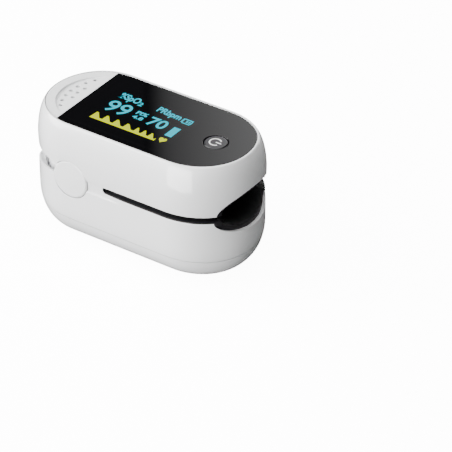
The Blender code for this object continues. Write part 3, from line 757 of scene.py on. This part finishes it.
def make_heart():
    centre = (8.05, -6.3)
    shape = []
    for step in range(40):
        angle = 2.0 * math.pi * step / 40
        x = 16.0 * math.sin(angle) ** 3
        y = 13.0 * math.cos(angle) - 5.0 * math.cos(2 * angle)
        y -= 2.0 * math.cos(3 * angle) + math.cos(4 * angle)
        shape.append((centre[0] - 0.064 * x, centre[1] + 0.076 * y))
    flat_piece("pulse_heart", [shape], INK_Z, YELLOW, "upper")


def flat_box(low, high):
    return [low, (high[0], low[1]), high, (low[0], high[1])]


def make_display_graphics():
    lettering("label_oxygen", "%SpO", (-12.1, 2.75), (-6.2, 6.05), 0.035, -0.03)
    lettering("label_oxygen_index", "2", (-6.1, 3.0), (-4.9, 4.6), 0.03)
    lettering("label_pulse", "PRbpm", (-0.8, 2.75), (6.3, 5.7), 0.03, -0.06)
    lettering("value_oxygen", "99", (-12.3, -3.1), (-5.7, 2.0), 0.012)
    lettering("value_pulse", "70", (0.2, -2.8), (5.4, 1.05), 0.02)
    lettering("label_index", "PI%", (-4.2, -0.35), (-1.0, 1.2), 0.03)
    lettering("value_index", "4.8", (-4.1, -2.25), (-1.1, -0.85), 0.03)
    flat_piece("pulse_bar", [flat_box((7.15, -4.3), (9.1, 0.0))], INK_Z, CYAN, "upper")
    cell = [flat_box((6.9, 2.7), (7.35, 4.5)), flat_box((7.35, 4.2), (9.6, 4.6)),
            flat_box((7.35, 2.45), (9.6, 2.8)), flat_box((9.4, 2.8), (9.75, 4.2)),
            flat_box((8.1, 3.05), (8.6, 3.95)), flat_box((8.8, 3.05), (9.2, 3.95))]
    flat_piece("cell_icon", cell, INK_Z, CYAN, "upper")
    make_waveform()
    make_heart()


def make_button_symbol():
    top = BUTTON_HIGH.z - 0.045
    ring = band(arc((BUTTON_X - 0.15, 0.0), 1.42, 1.42, 40.0, 320.0, 48), 0.27)
    tick = band([(BUTTON_X, 0.0), (BUTTON_X + 1.5, 0.0)], 0.27)
    flat_piece("power_symbol", [ring, tick], top, PRINT, "power_button")


# ---------------------------------------------------------------- stage

def make_camera():
    back = Vector((math.sin(CAMERA_AZIMUTH) * math.cos(CAMERA_ELEVATION),
                   -math.cos(CAMERA_AZIMUTH) * math.cos(CAMERA_ELEVATION), math.sin(CAMERA_ELEVATION)))
    data = bpy.data.cameras.new("camera")
    data.sensor_width = 36.0
    data.lens = CAMERA_LENS
    data.clip_start = 0.01
    data.clip_end = 20.0
    camera = bpy.data.objects.new("camera", data)
    camera.location = CAMERA_PLACE
    camera.rotation_euler = (-back).to_track_quat("-Z", "Y").to_euler()
    bpy.context.scene.collection.objects.link(camera)
    bpy.context.scene.camera = camera


def area_light(name, place, target, size, power):
    data = bpy.data.lights.new(name, "AREA")
    data.shape = "RECTANGLE"
    data.size, data.size_y = size
    data.energy = power
    lamp = bpy.data.objects.new(name, data)
    lamp.location = place
    lamp.rotation_euler = (Vector(target) - Vector(place)).to_track_quat("-Z", "Y").to_euler()
    bpy.context.scene.collection.objects.link(lamp)
    return lamp


def make_world(strength):
    world = bpy.data.worlds.new("studio")
    bpy.context.scene.world = world
    world.use_nodes = True
    back = world.node_tree.nodes["Background"]
    back.inputs["Color"].default_value = (1.0, 1.0, 1.0, 1.0)
    back.inputs["Strength"].default_value = strength


def make_floor():
    """Pale floor, bright in the picture, that throws only a little light back at the object."""
    half = 3.0
    mesh = bpy.data.meshes.new("floor")
    corners = [(-half, -half, 0), (half, -half, 0), (half, half, 0), (-half, half, 0)]
    mesh.from_pydata(corners, [], [(0, 1, 2, 3)])
    floor = bpy.data.objects.new("floor", mesh)
    floor.location = (0.0, 0.0, -0.0003)
    floor.visible_glossy = False
    bpy.context.scene.collection.objects.link(floor)
    made = bpy.data.materials.new("floor_paper")
    made.use_nodes = True
    nodes, links = made.node_tree.nodes, made.node_tree.links
    nodes.clear()
    paper = nodes.new("ShaderNodeBsdfDiffuse")
    paper.inputs["Color"].default_value = (0.8, 0.8, 0.8, 1.0)
    lit = nodes.new("ShaderNodeEmission")
    lit.inputs["Strength"].default_value = FLOOR_GLOW
    both = nodes.new("ShaderNodeAddShader")
    dim = nodes.new("ShaderNodeBsdfDiffuse")
    dim.inputs["Color"].default_value = (FLOOR_BOUNCE, FLOOR_BOUNCE, FLOOR_BOUNCE, 1.0)
    seen = nodes.new("ShaderNodeLightPath")
    mix = nodes.new("ShaderNodeMixShader")
    out = nodes.new("ShaderNodeOutputMaterial")
    links.new(paper.outputs[0], both.inputs[0])
    links.new(lit.outputs[0], both.inputs[1])
    links.new(seen.outputs["Is Camera Ray"], mix.inputs["Fac"])
    links.new(dim.outputs[0], mix.inputs[1])
    links.new(both.outputs[0], mix.inputs[2])
    links.new(mix.outputs[0], out.inputs["Surface"])
    mesh.materials.append(made)


def softbox(name, azimuth, elevation, distance, size, radiance, aim=(0.0, 0.0, 0.015)):
    """Rectangular light at a direction from the object, facing it; radiance fixes its power."""
    turn, rise = math.radians(azimuth), math.radians(elevation)
    level = math.cos(rise)
    place = Vector((math.cos(turn) * level, math.sin(turn) * level, math.sin(rise))) * distance
    power = radiance * math.pi * size[0] * size[1]
    lamp = area_light(name, place, aim, size, power)
    lamp.visible_camera = False
    return lamp


def make_lights():
    make_world(WORLD_LEVEL)
    for name, azimuth, elevation, distance, size, radiance in SOFTBOXES:
        softbox(name, azimuth, elevation, distance, size, radiance)
    make_card()


def make_card():
    """Dim card that the window mirrors: soft at its left edge and brighter to the right."""
    mirror = Vector((-0.498, 0.686, 0.5303))
    edge = Vector((1.96, 0.88, 32.8)) * MM
    right = Vector((math.cos(CAMERA_AZIMUTH), math.sin(CAMERA_AZIMUTH), 0.0))
    rise = mirror.cross(right) * -1.0
    if rise.z < 0.0:
        rise = -rise
    start = edge + mirror * CARD_DISTANCE
    wide, high = CARD_SIZE
    corners = []
    for across, along in ((0, 0), (1, 0), (1, 1), (0, 1)):
        corners.append(start + right * (across * wide - CARD_SOFT) + rise * (along - 0.5) * high)
    mesh = bpy.data.meshes.new("window_card")
    mesh.from_pydata([tuple(point) for point in corners], [], [(0, 1, 2, 3)])
    layer = mesh.uv_layers.new(name="card")
    for loop, place in zip(layer.data, ((0.0, 0.0), (1.0, 0.0), (1.0, 1.0), (0.0, 1.0))):
        loop.uv = place
    card = bpy.data.objects.new("window_card", mesh)
    card.visible_camera = False
    card.visible_diffuse = False
    card.visible_shadow = False
    bpy.context.scene.collection.objects.link(card)
    made = bpy.data.materials.new("card_light")
    made.use_nodes = True
    nodes, links = made.node_tree.nodes, made.node_tree.links
    nodes.clear()
    place = nodes.new("ShaderNodeUVMap")
    place.uv_map = "card"
    split = nodes.new("ShaderNodeSeparateXYZ")
    links.new(place.outputs["UV"], split.inputs["Vector"])
    across = nodes.new("ShaderNodeMapRange")
    across.interpolation_type = "SMOOTHSTEP"
    across.inputs["From Min"].default_value = 0.0
    across.inputs["From Max"].default_value = 2.0 * CARD_SOFT / wide
    links.new(split.outputs["X"], across.inputs["Value"])
    along = nodes.new("ShaderNodeMapRange")
    along.inputs["From Min"].default_value = 0.04
    along.inputs["From Max"].default_value = 0.17
    along.inputs["To Min"].default_value = CARD_LOW
    along.inputs["To Max"].default_value = CARD_HIGH
    links.new(split.outputs["X"], along.inputs["Value"])
    level = nodes.new("ShaderNodeMath")
    level.operation = "MULTIPLY"
    links.new(across.outputs["Result"], level.inputs[0])
    links.new(along.outputs["Result"], level.inputs[1])
    lit = nodes.new("ShaderNodeEmission")
    links.new(level.outputs["Value"], lit.inputs["Strength"])
    out = nodes.new("ShaderNodeOutputMaterial")
    links.new(lit.outputs[0], out.inputs["Surface"])
    mesh.materials.append(made)


# ---------------------------------------------------------------- build

dress_frame_nodes()
make_camera()
make_floor()
make_lights()
make_upper_case()
make_lower_case()
make_rear_wall()
make_bottom_cover()
make_battery_door()
make_hinge_caps()
make_window()
make_grille()
make_button()
make_cushion("upper_cushion", ARCH, UPPER_EDGE, 1.0, "upper", "upper_pad", (1.62, 0.3, 0.3))
make_cushion("lower_cushion", SCOOP, LOWER_EDGE, -1.0, "lower", "lower_pad", (2.18, 0.35, 0.1))
make_display_graphics()
make_button_symbol()
